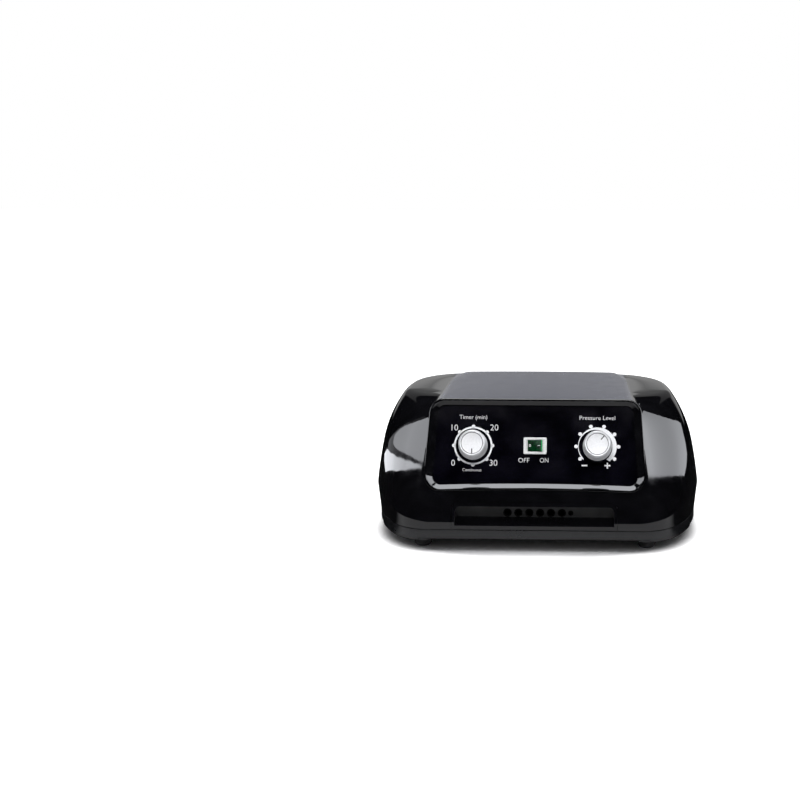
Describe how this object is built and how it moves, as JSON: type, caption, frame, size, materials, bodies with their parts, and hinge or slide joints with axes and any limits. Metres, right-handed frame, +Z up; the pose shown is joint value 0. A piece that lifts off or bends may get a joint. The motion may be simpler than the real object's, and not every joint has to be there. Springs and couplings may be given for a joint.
{
  "type": "compression therapy pump",
  "caption": "Tabletop air pump with a glossy domed case, sloping control panel, rotary time and pressure knobs, a power rocker and a row of hose ports.",
  "frame": {"origin": "on the surface that the feet stand on, below the centre of the case's outline", "axes": "+Z up, -Y out of the front with the control panel, +X to the right seen from the front"},
  "size_m": [0.302, 0.1906, 0.1308],
  "materials": {
    "shell": "high gloss black",
    "tray": "semi gloss black",
    "panel": "smooth black with white print",
    "silver": "satin silver",
    "rocker": "translucent green",
    "rubber": "matte black",
    "steel": "plain",
    "aluminium": "cast",
    "white": "smooth white",
    "copper": "enamelled copper winding",
    "iron": "laminated iron",
    "dark": "moulded black",
    "nylon": "natural nylon",
    "hose": "clear grey silicone",
    "circuit": "green solder mask"
  },
  "bodies": {
    "case": {"upper_housing": "shell", "panel_bezel": "shell", "base_tray": "tray", "port_block": "tray", "rear_panel": "tray", "fascia_panel": "panel", "timer_nut": "steel", "potentiometer_nut": "steel", "timer_unit": "dark", "pressure_potentiometer": "aluminium", "switch_housing": "white", "mains_inlet": "dark", "inlet_pin_live": "steel", "inlet_pin_earth": "steel", "inlet_pin_neutral": "steel", "fuse_holder": "dark", "fuse_cap": "dark", "port_manifold": "nylon", "compressor_base": "aluminium", "compressor_core_front": "iron", "compressor_core_rear": "iron", "compressor_coil_front": "copper", "compressor_coil_rear": "copper", "diaphragm_left": "rubber", "diaphragm_right": "rubber", "compressor_head_left": "aluminium", "compressor_head_right": "aluminium", "supply_tube_left": "hose", "supply_tube_right": "hose", "valve_motor": "steel", "valve_body": "nylon", "control_board": "circuit", "heat_sink": "aluminium", "board_capacitor": "dark", "board_transformer": "iron", "foot_front_left": "rubber", "case_screw_front_left": "steel", "isolation_mount_front_left": "rubber", "foot_front_right": "rubber", "case_screw_front_right": "steel", "isolation_mount_front_right": "rubber", "foot_rear_left": "rubber", "case_screw_rear_left": "steel", "isolation_mount_rear_left": "rubber", "foot_rear_right": "rubber", "case_screw_rear_right": "steel", "isolation_mount_rear_right": "rubber", "port_tube_1": "hose", "port_tube_2": "hose", "port_tube_3": "hose", "port_tube_4": "hose", "port_tube_5": "hose", "port_tube_6": "hose"},
    "time_knob": {"time_knob": "silver", "timer_shaft": "steel"},
    "pressure_knob": {"pressure_knob": "silver", "potentiometer_shaft": "steel"},
    "power_rocker": {"switch_rocker": "rocker"},
    "valve_rotor": {"valve_rotor": "dark"},
    "armature": {"armature": "steel"}
  },
  "joints": [
    {"name": "time_knob_turn", "type": "hinge", "parent": "case", "child": "time_knob", "pos_m": [-0.0558, -0.07008, 0.09069], "axis": [0, 0.9272, -0.3746], "range_deg": [0, 315]},
    {"name": "pressure_knob_turn", "type": "hinge", "parent": "case", "child": "pressure_knob", "pos_m": [0.0558, -0.07008, 0.09069], "axis": [0, 0.9272, -0.3746], "range_deg": [-174, 96]},
    {"name": "rocker_tilt", "type": "hinge", "parent": "case", "child": "power_rocker", "pos_m": [0, -0.06572, 0.08893], "axis": [0, 0.3746, 0.9272], "range_deg": [0, 18]},
    {"name": "valve_rotor_spin", "type": "hinge", "parent": "case", "child": "valve_rotor", "pos_m": [0.0025, 0.024, 0.04], "axis": [0, 0, 1], "continuous": true},
    {"name": "armature_slide", "type": "slide", "parent": "case", "child": "armature", "axis": [1, 0, 0], "range_m": [-0.002, 0.002], "stiffness_N_per_m": 900}
  ]
}
